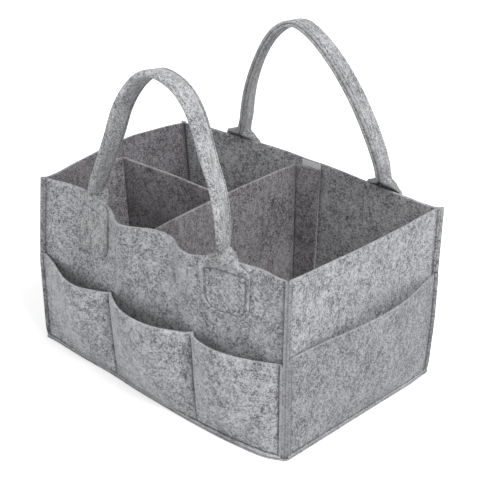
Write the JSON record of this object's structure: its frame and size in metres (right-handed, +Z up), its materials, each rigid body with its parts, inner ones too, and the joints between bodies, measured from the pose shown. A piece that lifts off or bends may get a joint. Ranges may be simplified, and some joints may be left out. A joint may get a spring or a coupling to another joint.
{
  "type": "felt caddy organizer",
  "caption": "Open felt storage caddy with outside pockets on every side, two arched carrying handles and a lift-out T-shaped divider held by hook-and-loop tape.",
  "frame": {"origin": "on the ground under the middle of the base panel", "axes": "+Z up; +X along the long sides, towards the end with the undivided compartment; the front long side faces -Y"},
  "size_m": [0.356, 0.2744, 0.3372],
  "materials": {
    "outer_felt": "mottled mid-grey pressed felt, matt and slightly hairy",
    "handle_felt": "the same mottled grey felt, cut as a strip and folded in half",
    "divider_felt": "the same mottled grey felt",
    "hook_tape": "white woven tape set with small stiff hooks",
    "loop_tape": "white woven tape with a soft looped pile"
  },
  "bodies": {
    "shell": {"front_wall": "outer_felt", "back_wall": "outer_felt", "left_wall": "outer_felt", "right_wall": "outer_felt", "bottom_panel": "outer_felt", "front_pocket_panel_left": "outer_felt", "front_pocket_panel_middle": "outer_felt", "front_pocket_panel_right": "outer_felt", "back_pocket_panel_left": "outer_felt", "back_pocket_panel_middle": "outer_felt", "back_pocket_panel_right": "outer_felt", "left_pocket_panel": "outer_felt", "right_pocket_panel": "outer_felt", "front_base_margin": "outer_felt", "right_base_margin": "outer_felt", "back_base_margin": "outer_felt", "left_base_margin": "outer_felt", "front_handle_tab_left": "handle_felt", "front_handle_tab_right": "handle_felt", "back_handle_tab_left": "handle_felt", "back_handle_tab_right": "handle_felt", "front_loop_tape": "loop_tape", "back_loop_tape": "loop_tape", "left_loop_tape": "loop_tape"},
    "front_handle": {"front_handle": "handle_felt"},
    "back_handle": {"back_handle": "handle_felt"},
    "divider": {"cross_divider": "divider_felt", "long_divider": "divider_felt"},
    "front_flap": {"front_divider_flap": "divider_felt", "front_hook_tape": "hook_tape"},
    "back_flap": {"back_divider_flap": "divider_felt", "back_hook_tape": "hook_tape"},
    "left_flap": {"left_divider_flap": "divider_felt", "left_hook_tape": "hook_tape"}
  },
  "joints": [
    {"name": "front_handle_fold", "type": "hinge", "parent": "shell", "child": "front_handle", "pos_m": [0, -0.11747, 0.18], "axis": [1, 0, 0], "range_deg": [-32, 150], "stiffness_Nm_per_rad": 0.08},
    {"name": "back_handle_fold", "type": "hinge", "parent": "shell", "child": "back_handle", "pos_m": [0, 0.11747, 0.18], "axis": [-1, 0, 0], "range_deg": [-32, 150], "stiffness_Nm_per_rad": 0.08},
    {"name": "divider_lift", "type": "slide", "parent": "shell", "child": "divider", "axis": [0, 0, 1], "range_m": [0, 0.145]},
    {"name": "front_flap_peel", "type": "hinge", "parent": "divider", "child": "front_flap", "pos_m": [-0.0082, -0.09852, 0], "axis": [0, -0.0447, 0.999], "range_deg": [0, 80], "stiffness_Nm_per_rad": 0.002},
    {"name": "back_flap_peel", "type": "hinge", "parent": "divider", "child": "back_flap", "pos_m": [-0.0082, 0.09852, 0], "axis": [0, -0.0447, -0.999], "range_deg": [0, 80], "stiffness_Nm_per_rad": 0.002},
    {"name": "left_flap_peel", "type": "hinge", "parent": "divider", "child": "left_flap", "pos_m": [-0.15607, 0.0062, 0], "axis": [-0.0168, 0, 0.9999], "range_deg": [0, 80], "stiffness_Nm_per_rad": 0.002}
  ]
}
